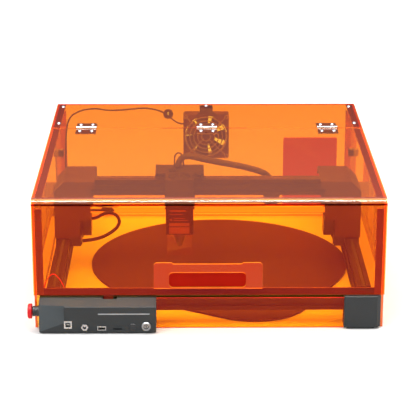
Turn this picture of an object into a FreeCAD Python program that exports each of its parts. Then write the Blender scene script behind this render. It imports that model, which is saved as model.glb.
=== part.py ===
"""Desktop laser cutter: a belt-driven diode laser gantry under a hinged acrylic enclosure.

Millimetres. +X points right, +Y back and +Z up. The pieces are laid out in the enclosure frame, whose origin
is the middle of the enclosure's front bottom edge. place() then shifts every piece by (shift_x, shift_y), so
that the exported origin is the bottom centre of the whole object.
"""
import FreeCAD
import Part
import Sketcher

import math
import os

from FreeCAD import Placement, Rotation, Vector

# Driving dimensions, kept in the sheet.
DRIVING = {
    # Enclosure
    "width": 600, "depth": 621, "height": 233, "sheet": 4, "gap": 0.4, "lid_overhang": 1,
    "hinge_line": 443, "lid_bottom": 61, "bend_radius": 13, "low_panel_top": 55,
    "corner_left": 232, "foot_high": 3.5, "strip_wide": 12, "strip_thick": 1.8, "shift_x": -5, "shift_y": 296,
    # Hinges and screws
    "hinge_spread": 232.5, "hinge_long": 39, "leaf_thick": 1.4, "leaf_deep": 34, "barrel_radius": 2.4,
    "pin_radius": 1.2, "hinge_rise": 1, "screw_head": 3.8, "screw_rise": 2.4, "screw_shank": 1.5,
    # Hand grip
    "grip_left": -95, "grip_right": 91, "grip_low": 74, "grip_high": 121,
    "slot_left": -69, "slot_right": 63, "slot_low": 76, "slot_high": 103,
    # Exhaust fan
    "fan_size": 92, "fan_thick": 25, "fan_bore": 43, "fan_high": 169.5, "fan_pitch": 82.5, "fan_hole": 2.2,
    # Machine frame
    "rail_in": 256, "rail_out": 280, "rail_low": 24, "rail_top": 68, "rail_front": 22, "rail_back": 598,
    "groove_wide": 6.5, "groove_deep": 3, "belt_wide": 6, "belt_thick": 1.5,
    # Control box
    "box_left": -291, "box_right": -91, "box_front": -26, "box_back": 22, "box_low": 3.5, "box_high": 49,
    "box_wall": 2.5,
    # Gantry
    "cover_in": 209, "cover_front": 265, "cover_back": 364, "cover_low": 72, "cover_top": 177,
    "cover_wall": 2.5, "plate_in": 236, "plate_thick": 4, "drive_y": 299, "drive_high": 87,
    "wheel_radius": 18.85, "motor_size": 35, "motor_long": 19, "x_motor_size": 28,
    "beam_front": 290, "beam_back": 312, "beam_low": 143, "beam_top": 174,
    "pulley_x": 222, "pulley_high": 158, "pulley_radius": 6.2, "x_belt_front": 315, "x_belt_back": 321,
    # Tool carriage and laser module
    "tool_x": -52, "laser_front": 235, "laser_back": 283, "laser_low": 88, "laser_top": 190, "laser_wide": 51,
    # Work board
    "board_thick": 4, "board_rear_x": 22.5, "board_rear_y": 324, "board_rear_radius": 242,
    "board_tip_x": 81, "board_tip_y": 128, "board_tip_radius": 101,
}

doc = FreeCAD.newDocument("laser_cutter")
sheet = doc.addObject("Spreadsheet::Sheet", "Sizes")
for row, (alias, number) in enumerate(DRIVING.items(), start=1):
    sheet.set(f"A{row}", alias)
    sheet.set(f"B{row}", str(number))
    sheet.setAlias(f"B{row}", alias)
doc.recompute()


class Size:
    """A length together with the sheet expression that gives it."""

    def __init__(self, text, value):
        self.text = text
        self.value = float(value)

    def __add__(self, other):
        other = size(other)
        return Size(f"({self.text} + {other.text})", self.value + other.value)

    def __sub__(self, other):
        other = size(other)
        return Size(f"({self.text} - {other.text})", self.value - other.value)

    def __mul__(self, factor):
        factor = size(factor)
        return Size(f"({self.text} * {factor.text})", self.value * factor.value)

    def __truediv__(self, divisor):
        divisor = size(divisor)
        return Size(f"({self.text} / {divisor.text})", self.value / divisor.value)

    def __neg__(self):
        return self * -1

    def __radd__(self, other):
        return size(other) + self

    def __rsub__(self, other):
        return size(other) - self

    def __rmul__(self, other):
        return size(other) * self


def size(number):
    """Makes a Size of a plain number, and leaves a Size as it is."""
    if isinstance(number, Size):
        return number
    return Size(f"({float(number)})", number)


def cell(alias):
    """The sheet's cell with that alias, as a Size."""
    return Size(f"Sizes.{alias}", sheet.get(alias))


S = {alias: cell(alias) for alias in DRIVING}
NODES = {}


def bind(thing, path, number):
    """Ties one property of an object to the sheet."""
    thing.setExpression(path, size(number).text)


def place(thing, x=0, y=0, z=0, turn=None):
    """Puts an object's own origin at a point of the enclosure frame."""
    point = (size(x) - S["shift_x"], size(y) - S["shift_y"], size(z))
    thing.Placement = Placement(Vector(*[p.value for p in point]), turn or Rotation())
    for name, p in zip("xyz", point):
        bind(thing, f"Placement.Base.{name}", p)
    return thing


def node(label, thing):
    """Registers a finished object as the sub-part of that name."""
    thing.Label = label
    NODES[label] = thing
    return thing


def mirrored_range(low, high, side):
    """The range (low, high) on the right (side 1) or its mirror image on the left (side -1)."""
    return (low, high) if side > 0 else (-size(high), -size(low))


def ordered(one, other):
    """Two limits, the lower one first."""
    return (one, other) if one.value < other.value else (other, one)


# ---- Part primitives -------------------------------------------------------------------------------------


def block(x, y, z, name="block"):
    """A box between two limits along each axis."""
    thing = doc.addObject("Part::Box", name)
    for prop, (low, high) in zip(("Length", "Width", "Height"), (x, y, z)):
        bind(thing, prop, size(high) - size(low))
    return place(thing, x[0], y[0], z[0])


def cylinder(radius, start, length, along="z", name="cylinder"):
    """A cylinder from a start point along +x, +y or +z."""
    turns = {"x": Rotation(Vector(0, 1, 0), 90), "y": Rotation(Vector(1, 0, 0), -90), "z": Rotation()}
    thing = doc.addObject("Part::Cylinder", name)
    bind(thing, "Radius", radius)
    bind(thing, "Height", length)
    return place(thing, *start, turn=turns[along])


def fuse(*pieces, name="fuse"):
    """One solid made of overlapping pieces."""
    thing = doc.addObject("Part::MultiFuse", name)
    thing.Shapes = list(pieces)
    thing.Refine = True
    return thing


def cut(base, *tools, name="cut"):
    """The base without its tools."""
    thing = doc.addObject("Part::Cut", name)
    thing.Base = base
    thing.Tool = tools[0] if len(tools) == 1 else gather(*tools)
    return thing


def gather(*pieces, name="group"):
    """Separate solids kept together as one object."""
    thing = doc.addObject("Part::Compound", name)
    thing.Links = list(pieces)
    return thing


def shape_node(label, shape):
    """A sub-part whose shape comes from Part's own functions, given in the enclosure frame."""
    thing = doc.addObject("Part::Feature", label)
    thing.Shape = shape
    place(thing)
    return node(label, thing)


# ---- Sketched bodies -------------------------------------------------------------------------------------

ORIGIN = (-1, 1)  # a sketch's own origin, as constraints name it


def add_outline(sketch, points):
    """A closed outline of straight lines, each corner tied to the sheet by its two coordinates."""
    points = [(size(a), size(b)) for a, b in points]
    first = sketch.GeometryCount
    count = len(points)
    for i, (a, b) in enumerate(points):
        c, d = points[(i + 1) % count]
        sketch.addGeometry(Part.LineSegment(Vector(a.value, b.value, 0), Vector(c.value, d.value, 0)), False)
    for i in range(count):
        following = first + (i + 1) % count
        sketch.addConstraint(Sketcher.Constraint("Coincident", first + i, 2, following, 1))
    for i, (a, b) in enumerate(points):
        tie(sketch, "DistanceX", first + i, 1, a)
        tie(sketch, "DistanceY", first + i, 1, b)


def tie(sketch, kind, geometry, point, number):
    """Holds one coordinate of a sketch point at a sheet value."""
    if abs(number.value) < 1e-9:
        other = "Vertical" if kind == "DistanceX" else "Horizontal"
        sketch.addConstraint(Sketcher.Constraint(other, *ORIGIN, geometry, point))
        return
    index = sketch.addConstraint(Sketcher.Constraint(kind, *ORIGIN, geometry, point, number.value))
    bind(sketch, f"Constraints[{index}]", number)


def add_circle(sketch, a, b, radius):
    """A circle tied to the sheet by its centre and radius."""
    a, b, radius = size(a), size(b), size(radius)
    index = sketch.addGeometry(Part.Circle(Vector(a.value, b.value, 0), Vector(0, 0, 1), radius.value), False)
    tie(sketch, "DistanceX", index, 3, a)
    tie(sketch, "DistanceY", index, 3, b)
    limit = sketch.addConstraint(Sketcher.Constraint("Radius", index, radius.value))
    bind(sketch, f"Constraints[{limit}]", radius)


def new_sketch(body, plane, offset, outlines, circles=()):
    """A sketch on one of the body's origin planes, moved along +x, +y or +z by offset."""
    sketch = body.newObject("Sketcher::SketchObject", body.Name + "_sketch")
    sketch.AttachmentSupport = [(origin_feature(body, plane), "")]
    sketch.MapMode = "FlatFace"
    normal_sign = -1 if plane == "XZ_Plane" else 1
    offset = size(offset) * normal_sign
    sketch.AttachmentOffset = Placement(Vector(0, 0, offset.value), Rotation())
    bind(sketch, "AttachmentOffset.Base.z", offset)
    for points in outlines:
        add_outline(sketch, points)
    for circle in circles:
        add_circle(sketch, *circle)
    return sketch


def rectangle(a, b, wide, high):
    """The outline of a rectangle around a centre."""
    half, rise = size(wide) / 2, size(high) / 2
    return [(a - half, b - rise), (a + half, b - rise), (a + half, b + rise), (a - half, b + rise)]


def origin_feature(body, role):
    """The body's own origin plane or axis of that role."""
    return [feature for feature in body.Origin.OriginFeatures if feature.Role == role][0]


def blank_body(name):
    """An empty body at the enclosure frame's origin, not yet a sub-part."""
    return place(doc.addObject("PartDesign::Body", name))


def new_body(label):
    """An empty body that is a sub-part by itself."""
    return node(label, blank_body(label))


def pad(body, plane, span, outlines, circles=()):
    """Adds material between two offsets from a plane."""
    low, high = size(span[0]), size(span[1])
    feature = body.newObject("PartDesign::Pad", body.Name + "_pad")
    feature.Profile = new_sketch(body, plane, low, outlines, circles)
    feature.Reversed = plane == "XZ_Plane"
    bind(feature, "Length", high - low)
    return feature


def pocket(body, plane, span, outlines, circles=()):
    """Takes material away between two offsets from a plane, and checks that some was there."""
    low, high = size(span[0]), size(span[1])
    doc.recompute()
    before = body.Shape.Volume
    feature = body.newObject("PartDesign::Pocket", body.Name + "_pocket")
    feature.Profile = new_sketch(body, plane, low, outlines, circles)
    feature.Reversed = plane != "XZ_Plane"
    bind(feature, "Length", high - low)
    doc.recompute()
    if body.Shape.Volume > before - 1e-3:
        raise ValueError(f"a pocket in {body.Label} cuts nothing")
    return feature


def dress(body, kind, amount, test):
    """Rounds (Fillet) or bevels (Chamfer) the edges that pass a test in the enclosure frame."""
    doc.recompute()
    base = body.Tip
    names = []
    for number, edge in enumerate(base.Shape.Edges, start=1):
        if test(edge):
            names.append(f"Edge{number}")
    if not names:
        raise ValueError(f"no edge of {body.Label} passes the test for its {kind}")
    feature = body.newObject(f"PartDesign::{kind}", body.Name + "_" + kind.lower())
    feature.Base = (base, names)
    bind(feature, "Radius" if kind == "Fillet" else "Size", amount)
    doc.recompute()
    return feature


def near(value, target):
    """True if two lengths agree to a hundredth of a millimetre."""
    return abs(value - size(target).value) < 0.01


def edge_at(x=None, y=None, z=None):
    """A test for straight edges whose every point has the given coordinates."""
    wanted = [(axis, target) for axis, target in zip("xyz", (x, y, z)) if target is not None]

    def passes(edge):
        ends = [vertex.Point for vertex in edge.Vertexes]
        straight = edge.Curve.TypeId == "Part::GeomLine"
        return straight and all(near(getattr(end, axis), target) for end in ends for axis, target in wanted)

    return passes


def revolved(name, profile, x, y, z, turn=None):
    """A body of revolution: (radius, height) corners turned about its own z axis, then placed."""
    body = doc.addObject("PartDesign::Body", name)
    feature = body.newObject("PartDesign::Revolution", body.Name + "_turn")
    sketch = new_sketch(body, "XZ_Plane", 0, [profile])
    feature.Profile = sketch
    feature.ReferenceAxis = (sketch, ["V_Axis"])
    feature.Angle = 360
    return place(body, x, y, z, turn)


def turned(label, profile, x, y, z, turn=None):
    """A body of revolution that is a sub-part by itself."""
    return node(label, revolved(label, profile, x, y, z, turn))


TO_X = Rotation(Vector(0, 1, 0), 90)
TO_Y = Rotation(Vector(1, 0, 0), -90)
TO_FRONT = Rotation(Vector(1, 0, 0), 90)
TO_LEFT = Rotation(Vector(0, 1, 0), -90)
HALF = S["width"] / 2
ROOF = S["height"] - S["sheet"]  # underside of the roof sheets
HINGES = (-S["hinge_spread"], size(0), S["hinge_spread"])


# ---- Screws ----------------------------------------------------------------------------------------------


def dome_screw(x, y, z, length):
    """An upright dome-head screw with a socket, whose head rests on the point (x, y, z)."""
    head, rise, shank = (S[name].value for name in ("screw_head", "screw_rise", "screw_shank"))
    mid = Vector(head * 0.72, 0, rise * 0.72)
    dome = Part.Arc(Vector(head, 0, 0), mid, Vector(0, 0, rise)).toShape()
    lines = Part.makePolygon([Vector(0, 0, rise), Vector(0, 0, -length), Vector(shank, 0, -length),
                              Vector(shank, 0, 0), Vector(head, 0, 0)])
    profile = Part.Face(Part.Wire([dome] + lines.Edges))
    shape = profile.revolve(Vector(0, 0, 0), Vector(0, 0, 1), 360)
    socket = Part.makeCylinder(shank * 0.9, rise, Vector(0, 0, rise * 0.45))
    shape = shape.cut(socket)
    base = Vector(*[size(coordinate).value for coordinate in (x, y, z)])
    shape.Placement = Placement(base, Rotation())
    return shape


def drill(body, span, points):
    """Screw clearance holes through a body, parallel to z."""
    return pocket(body, "XY_Plane", span, [], [(x, y, SCREW_HOLE) for x, y in points])


SCREW_HOLE = S["screw_shank"] + 0.2
CORNER_SCREWS = [(side * 288, y) for side in (-1, 1) for y in (476, 598)]
FAN_BRACKET_SCREW = (0, 606)
ROOF_SCREWS = CORNER_SCREWS + [FAN_BRACKET_SCREW]
HINGE_SCREW_X = 11.5
HINGE_SCREW_Y = 22.3
HINGE_SCREW_ROW = [x + dx for x in HINGES for dx in (-HINGE_SCREW_X, HINGE_SCREW_X)]
FIXED_HINGE_SCREWS = [(x, S["hinge_line"] + HINGE_SCREW_Y) for x in HINGE_SCREW_ROW]
LID_HINGE_SCREWS = [(x, S["hinge_line"] - HINGE_SCREW_Y) for x in HINGE_SCREW_ROW]


# ---- Enclosure: fixed sheets -----------------------------------------------------------------------------


def side_panel(label, side):
    """A full-depth side sheet whose front top corner is cut back to clear the lid's bend."""
    gap, bend = S["gap"], S["bend_radius"]
    front = S["sheet"] + gap
    outline = [(front, 0), (S["depth"], 0), (S["depth"], ROOF), (S["hinge_line"], ROOF),
               (S["hinge_line"], ROOF - gap), (bend + 1, ROOF - gap), (front, ROOF - bend + 3)]
    span = mirrored_range(HALF - S["sheet"], HALF, side)
    body = new_body(label)
    pad(body, "YZ_Plane", span, [outline])


CLIP = (-77, 210)  # middle of the cable clip, as (x, z)
CLIP_RADIUS = 7


def fan_screw_holes():
    """The fan's four screw holes, as circles on an upright plane."""
    reach = S["fan_pitch"] / 2
    return [(sx * reach, S["fan_high"] + sz * reach, S["fan_hole"]) for sx in (-1, 1) for sz in (-1, 1)]


def rear_panel():
    """The rear sheet with the fan outlet, its four holes and the cable clip's hole."""
    inner = HALF - S["sheet"]
    outline = [(-inner, 0), (inner, 0), (inner, ROOF), (-inner, ROOF)]
    circles = [(0, S["fan_high"], S["fan_bore"] - 1), (*CLIP, CLIP_RADIUS)] + fan_screw_holes()
    body = new_body("rear_panel")
    pad(body, "XZ_Plane", (S["depth"] - S["sheet"], S["depth"]), [outline], circles)


def hinge_notches(low_y, high_y):
    """Rectangles that let the hinge barrels stand between the two roof sheets."""
    half = S["hinge_long"] / 2 + 1
    return [[(x - half, low_y), (x + half, low_y), (x + half, high_y), (x - half, high_y)] for x in HINGES]


def rear_roof_strip():
    """The fixed part of the roof, behind the hinge line."""
    edge = HALF + S["lid_overhang"]
    front, back = S["hinge_line"] + S["gap"], S["depth"]
    body = new_body("rear_roof_strip")
    pad(body, "XY_Plane", (ROOF, S["height"]), [[(-edge, front), (edge, front), (edge, back), (-edge, back)]])
    cut_span = (ROOF - 1, S["height"] + 1)
    pocket(body, "XY_Plane", cut_span, hinge_notches(front - 1, S["hinge_line"] + 4))
    drill(body, cut_span, ROOF_SCREWS + FIXED_HINGE_SCREWS)


def low_front_panel():
    """The fixed low sheet between the control box and the right corner block."""
    left, right, top = S["box_right"], S["corner_left"], S["low_panel_top"]
    body = new_body("low_front_panel")
    pad(body, "XZ_Plane", (0, S["sheet"]), [[(left, 1), (right, 1), (right, top), (left, top)]])


def rear_cover_plate():
    """A small second sheet stuck to the inside of the rear panel's right half."""
    face = S["depth"] - S["sheet"]
    body = new_body("rear_cover_plate")
    pad(body, "XZ_Plane", (face - 3, face), [[(158, 27), (268, 27), (268, 160), (158, 160)]])
    dress(body, "Fillet", 3, lambda edge: near(edge.Length, 3))


def joining_strips():
    """Angle strips that join the roof strip and the rear panel to the side panels."""
    rear_face = S["depth"] - S["sheet"]
    pieces = []
    for side in (-1, 1):
        x = mirrored_range(HALF - S["sheet"] - S["strip_wide"], HALF - S["sheet"], side)
        roof = block(x, (S["hinge_line"] + 8, rear_face), (ROOF - S["strip_thick"], ROOF))
        holes = [cylinder(SCREW_HOLE, (px, py, ROOF - 3), 4) for px, py in CORNER_SCREWS if px * side > 0]
        pieces.append(cut(roof, *holes))
        pieces.append(block(x, (rear_face - S["strip_thick"], rear_face), (6, 217)))
    node("joining_strips", gather(*pieces))


PANEL_BLOCKS = [(side * 291, 555) for side in (-1, 1)]
PANEL_BLOCK_TOP = 153
PANEL_SCREW_LONG = 6


def panel_blocks():
    """Small blocks high up on the side panels' inner faces, each with an upright screw."""
    pieces = []
    for x, y in PANEL_BLOCKS:
        body = block((x - 5, x + 5), (y - 6, y + 6), (PANEL_BLOCK_TOP - 13, PANEL_BLOCK_TOP))
        hole = cylinder(SCREW_HOLE, (x, y, PANEL_BLOCK_TOP - PANEL_SCREW_LONG), PANEL_SCREW_LONG + 1)
        pieces.append(cut(body, hole))
    node("panel_blocks", gather(*pieces))


def enclosure_screws():
    """Dome-head screws of the roof strip, the fan bracket, the hinges' fixed leaves and the panel blocks."""
    roof_length = S["sheet"].value + S["strip_thick"].value
    screws = [dome_screw(x, y, S["height"], roof_length) for x, y in ROOF_SCREWS + FIXED_HINGE_SCREWS]
    screws += [dome_screw(x, y, PANEL_BLOCK_TOP, PANEL_SCREW_LONG) for x, y in PANEL_BLOCKS]
    shape_node("enclosure_screws", Part.makeCompound(screws))


# ---- Hinges ----------------------------------------------------------------------------------------------

HINGE_Z = S["height"] + S["hinge_rise"]


def hinge_leaf(x, side, barrel_spans):
    """One leaf: a plate under the sheet, a web through the gap and its share of the barrel."""
    line, radius = S["hinge_line"], S["barrel_radius"]
    half = S["hinge_long"] / 2
    outer = ordered(line + side * (radius + S["leaf_deep"]), line + side * radius)
    web = ordered(line + side * (radius - 0.4), line + side * (radius + 1))
    plate = block((x - half, x + half), outer, (ROOF - S["leaf_thick"], ROOF))
    screw_y = line + side * HINGE_SCREW_Y
    holes = [cylinder(SCREW_HOLE, (x + dx, screw_y, ROOF - 3), 6) for dx in (-HINGE_SCREW_X, HINGE_SCREW_X)]
    pieces = [cut(plate, *holes)]
    for low, high in barrel_spans:
        pieces.append(block((x + low, x + high), web, (ROOF - S["leaf_thick"], HINGE_Z)))
        pieces.append(cylinder(radius, (x + low, line, HINGE_Z), size(high) - low, "x"))
    leaf = fuse(*pieces)
    bore = cylinder(S["pin_radius"] + 0.05, (x - half - 1, line, HINGE_Z), S["hinge_long"] + 2, "x")
    return cut(leaf, bore)


def hinges():
    """Three butt hinges: the lid's leaf has the middle knuckle, the fixed leaf the two outer ones."""
    half = S["hinge_long"] / 2
    middle = S["hinge_long"] / 6
    fixed = [hinge_leaf(x, 1, [(-half, -middle - 0.3), (middle + 0.3, half)]) for x in HINGES]
    moving = [hinge_leaf(x, -1, [(-middle, middle)]) for x in HINGES]
    line = S["hinge_line"]
    pins = [cylinder(S["pin_radius"], (x - half, line, HINGE_Z), S["hinge_long"], "x") for x in HINGES]
    node("hinge_fixed_leaves", gather(*fixed))
    node("hinge_lid_leaves", gather(*moving))
    node("hinge_pins", gather(*pins))


# ---- Lid -------------------------------------------------------------------------------------------------


def lid_panel():
    """One sheet bent over the front edge, with a grip slot, hinge notches and a tongue for the interlock."""
    edge = HALF + S["lid_overhang"]
    top, sheet_thick = S["height"], S["sheet"]
    back = S["hinge_line"] - S["gap"]
    outline = [(0, S["lid_bottom"]), (sheet_thick, S["lid_bottom"]), (sheet_thick, top - sheet_thick),
               (back, top - sheet_thick), (back, top), (0, top)]
    body = new_body("lid_panel")
    pad(body, "YZ_Plane", (-edge, edge), [outline])
    dress(body, "Fillet", S["bend_radius"], edge_at(y=0, z=top))
    dress(body, "Fillet", S["bend_radius"] - sheet_thick, edge_at(y=sheet_thick, z=top - sheet_thick))
    pad(body, "XZ_Plane", (0, sheet_thick),
        [[(-181, 54), (-165, 54), (-165, S["lid_bottom"] + 1), (-181, S["lid_bottom"] + 1)]])
    cut_span = (ROOF - 1, top + 1)
    pocket(body, "XY_Plane", cut_span, hinge_notches(S["hinge_line"] - 4, back + 1))
    drill(body, cut_span, LID_HINGE_SCREWS)
    pocket(body, "XZ_Plane", (-1, sheet_thick + 1), [grip_slot()])
    dress(body, "Fillet", SLOT_CORNER_RADIUS, slot_corner())


SLOT_CORNER_RADIUS = 7
INSERT_GAP = 0.1


def grip_slot(inset=0):
    """The finger slot's outline, or one that lies inside it by the inset."""
    left, right = S["slot_left"] + inset, S["slot_right"] - inset
    low, high = S["slot_low"] + inset, S["slot_high"] - inset
    return [(left, low), (right, low), (right, high), (left, high)]


def slot_corner(inset=0):
    """A test for the four corner edges of the slot's outline."""
    corners = [edge_at(x=x, z=z) for x, z in grip_slot(inset)]
    return lambda edge: any(corner(edge) for corner in corners)


def lid_grip_plate():
    """The doubler plate around the finger slot, and the insert that closes the slot in the lid."""
    low, high = S["grip_low"], S["grip_high"]
    left, right = S["grip_left"], S["grip_right"]
    outline = [(left, low), (right, low), (right, high - 4), (right - 4, high), (58, high), (56, high - 2.5),
               (-62, high - 2.5), (-64, high), (left + 4, high), (left, high - 4)]
    plate = blank_body("grip_plate_body")
    pad(plate, "XZ_Plane", (-S["sheet"], 0), [outline])
    pocket(plate, "XZ_Plane", (-S["sheet"] - 1, 1), [grip_slot()])
    dress(plate, "Fillet", SLOT_CORNER_RADIUS, slot_corner())
    insert = blank_body("grip_insert_body")
    pad(insert, "XZ_Plane", (0.5, S["sheet"]), [grip_slot(INSERT_GAP)])
    dress(insert, "Fillet", SLOT_CORNER_RADIUS - INSERT_GAP, slot_corner(INSERT_GAP))
    node("lid_grip_plate", gather(plate, insert))


def lid_seal_strips():
    """Foam strips stuck inside the lid: two under its top, two behind its front and one along the bottom."""
    thick, wide = S["strip_thick"], S["strip_wide"]
    inner = HALF - S["sheet"] - 0.5
    behind = (S["sheet"], S["sheet"] + thick)
    pieces = [block((wide - inner, inner - wide), behind, (S["lid_bottom"], S["lid_bottom"] + wide))]
    for side in (-1, 1):
        x = mirrored_range(inner - wide, inner, side)
        pieces.append(block(x, (S["bend_radius"] + 2, S["hinge_line"] - 4), (ROOF - thick, ROOF)))
        pieces.append(block(x, behind, (S["lid_bottom"], ROOF - S["bend_radius"])))
    node("lid_seal_strips", gather(*pieces))


def lid_screws():
    """Dome-head screws of the hinges' lid leaves."""
    length = S["sheet"].value + S["leaf_thick"].value
    screws = [dome_screw(x, y, S["height"], length) for x, y in LID_HINGE_SCREWS]
    shape_node("lid_screws", Part.makeCompound(screws))


# ---- Exhaust fan -----------------------------------------------------------------------------------------

FAN_BACK = S["depth"] - S["sheet"]
FAN_FRONT = FAN_BACK - S["fan_thick"]


def exhaust_fan_frame():
    """Square frame with a round duct, four screw holes and a motor mount on four struts at the rear."""
    half, high = S["fan_size"] / 2, S["fan_high"]
    outline = rectangle(0, high, S["fan_size"], S["fan_size"])
    body = new_body("exhaust_fan_frame")
    pad(body, "XZ_Plane", (FAN_FRONT, FAN_BACK), [outline], fan_screw_holes())
    corners = [edge_at(x=sx * half, z=high + sz * half) for sx in (-1, 1) for sz in (-1, 1)]
    dress(body, "Fillet", 4, lambda edge: any(corner(edge) for corner in corners))
    pocket(body, "XZ_Plane", (FAN_FRONT - 1, FAN_BACK + 1), [], [(0, high, S["fan_bore"])])
    rear = (FAN_BACK - 4, FAN_BACK)
    strut = S["fan_size"] - 4
    pad(body, "XZ_Plane", rear, [rectangle(0, high, 5, strut)])
    pad(body, "XZ_Plane", rear, [rectangle(0, high, strut, 5)])
    pad(body, "XZ_Plane", rear, [], [(0, high, 19)])


FAN_BLADES = 7
BLADE_HALF_THICK = 0.6


def fan_rotor(label, centre, axis_turn, hub_radius, tip_radius, depth):
    """A hub with twisted blades, lofted between a steep root section and a flat, wide tip section."""
    root = (hub_radius - 1, 45, depth * 1.1)
    tip = (tip_radius, 25, depth * 1.9)
    pieces = []
    for i in range(FAN_BLADES):
        sections = []
        for radius, pitch, chord in (root, tip):
            corners = [Vector(radius, a * chord / 2, b * BLADE_HALF_THICK)
                       for a, b in ((-1, -1), (1, -1), (1, 1), (-1, 1))]
            wire = Part.makePolygon(corners + corners[:1])
            wire.rotate(Vector(radius, 0, 0), Vector(1, 0, 0), pitch)
            sections.append(wire)
        blade = Part.makeLoft(sections, True, True)
        blade.translate(Vector(0, 0, depth / 2))
        blade.rotate(Vector(0, 0, 0), Vector(0, 0, 1), 360 / FAN_BLADES * i)
        pieces.append(blade)
    limit = Part.makeCylinder(tip_radius, depth)
    rotor = Part.makeCylinder(hub_radius, depth).multiFuse(pieces).common(limit)
    rotor.Placement = Placement(Vector(*[size(coordinate).value for coordinate in centre]), axis_turn)
    shape_node(label, rotor.removeSplitter())


def fan_guard():
    """Wire guard: five rings and two diagonal wires that end in eyes over the fan's screw holes."""
    wire, eye_radius, spoke_start = 1.1, 3.4, 7
    high, reach = S["fan_high"].value, S["fan_pitch"].value / 2
    y = FAN_FRONT.value - wire - 0.2
    centre = Vector(0, y, high)
    ring_centre = centre - Vector(0, wire + 0.2, 0)
    pieces = [Part.makeTorus(radius, wire, ring_centre, Vector(0, 1, 0)) for radius in (9, 17, 25, 33, 41)]
    for sx, sz in ((-1, -1), (-1, 1), (1, -1), (1, 1)):
        eye = Vector(sx * reach, y, high + sz * reach)
        outward = (eye - centre).normalize()
        length = (eye - centre).Length - spoke_start - eye_radius
        pieces.append(Part.makeCylinder(wire, length, centre + outward * spoke_start, outward))
        pieces.append(Part.makeTorus(eye_radius, wire, eye, Vector(0, 1, 0)))
    shape_node("fan_guard", pieces[0].multiFuse(pieces[1:]))


def fan_bracket():
    """A bent plate that hangs the fan from the roof strip."""
    low = S["fan_high"] + S["fan_size"] / 2 + 0.3
    thick = 2
    front, back = FAN_FRONT - 0.2, FAN_BACK - 4
    elbow = [(back, ROOF - thick), (back, ROOF), (front, ROOF), (front, low), (front + thick, low),
             (front + thick, ROOF - thick)]
    foot = [(-13, low + 4), (13, low + 4), (20, low), (-20, low)]
    body = new_body("fan_bracket")
    pad(body, "YZ_Plane", (-13, 13), [elbow])
    pad(body, "XZ_Plane", (front, front + thick), [foot])
    drill(body, (ROOF - 3, ROOF + 1), [FAN_BRACKET_SCREW])


def cable_clip():
    """A round clip pushed into the rear panel, with a slit cross for the lead."""
    face = S["depth"] - S["sheet"]
    x, z = CLIP
    disc = cylinder(10, (x, face - 1.8, z), 1.8, "y")
    stem = cylinder(CLIP_RADIUS - 0.2, (x, face - 0.5, z), S["sheet"] + 0.5, "y")
    through = (face - 3, S["depth"] + 1)
    slits = [block((x - a, x + a), through, (z - b, z + b)) for a, b in ((4.5, 0.8), (0.8, 4.5))]
    node("cable_clip", cut(fuse(disc, stem), *slits))


def tube(label, points, radius):
    """A round cable along straight runs joined by arcs, each as wide as its two runs allow."""
    points = [Vector(*point) for point in points]
    pieces = []
    radii = []
    last = points[0]
    for before, corner, after in zip(points, points[1:], points[2:]):
        run_in, run_out = corner - before, after - corner
        reach = 0.45 * min(run_in.Length, run_out.Length)
        turn = run_in.getAngle(run_out)
        axis = run_in.cross(run_out).normalize()
        run_in.normalize()
        into = corner - run_in * reach
        bend = reach / math.tan(turn / 2)
        centre = into + axis.cross(run_in) * bend
        disc = Part.Face(Part.Wire(Part.makeCircle(radius, into, run_in)))
        pieces.append(Part.makeCylinder(radius, (into - last).Length, last, run_in))
        pieces.append(disc.revolve(centre, axis, math.degrees(turn)))
        radii.append(round(bend))
        last = corner + run_out.normalize() * reach
    final = points[-1] - last
    pieces.append(Part.makeCylinder(radius, final.Length, last, final))
    shape_node(label, pieces[0].multiFuse(pieces[1:]).removeSplitter())
    runs = [(end - start).Length for start, end in zip(points, points[1:])]
    print(label, "runs", [round(run) for run in runs], "adding up to", round(sum(runs)), "mm; bends", radii)


# The exhaust fan's lead: along the rear panel, down the left rear corner, and forward beside the left rail.
LEAD_RADIUS = 1.6
FAN_LEAD = [(-46, 603, 193), (-57, 603, 193), (-77, 611, 208), (-92, 612, 218), (-122, 612, 224.5),
            (-155, 612, 221), (-195, 612, 218), (-226, 612, 223.5), (-256, 611, 219), (-279, 608, 205),
            (-285, 605, 170), (-286, 602, 120), (-287, 595, 76), (-288, 593, 22), (-288, 565, 1.8),
            (-289.8, 509, 1.8), (-291.2, 453, 1.8), (-292.2, 397, 1.8), (-292.8, 341, 1.8), (-293, 285, 1.8),
            (-292.7, 229, 1.8), (-291.9, 173, 1.8), (-290.6, 117, 1.8), (-288.8, 61, 1.8), (-284, 22.5, 11)]


# ---- Machine frame ---------------------------------------------------------------------------------------


def rail(label, side):
    """An aluminium extrusion standing on edge, with two grooves in each side and a belt groove in its top."""
    inner, outer = mirrored_range(S["rail_in"], S["rail_out"], side)
    wide, deep = S["groove_wide"], S["groove_deep"]
    low, top = S["rail_low"], S["rail_top"]
    levels = (low + 11, low + 33)
    middle = (inner + outer) / 2
    up_side = []
    for level in levels:
        up_side += [(outer, level - wide / 2), (outer - deep, level - wide / 2),
                    (outer - deep, level + wide / 2), (outer, level + wide / 2)]
    down_side = [(inner + (outer - x), z) for x, z in reversed(up_side)]
    half, floor = S["belt_wide"] / 2 + 0.5, top - S["belt_thick"] - 0.5
    top_groove = [(middle + half, top), (middle + half, floor), (middle - half, floor), (middle - half, top)]
    outline = [(outer, low), *up_side, (outer, top), *top_groove, (inner, top), *down_side, (inner, low)]
    body = new_body(label)
    pad(body, "XZ_Plane", (S["rail_front"], S["rail_back"]), [outline])


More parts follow.
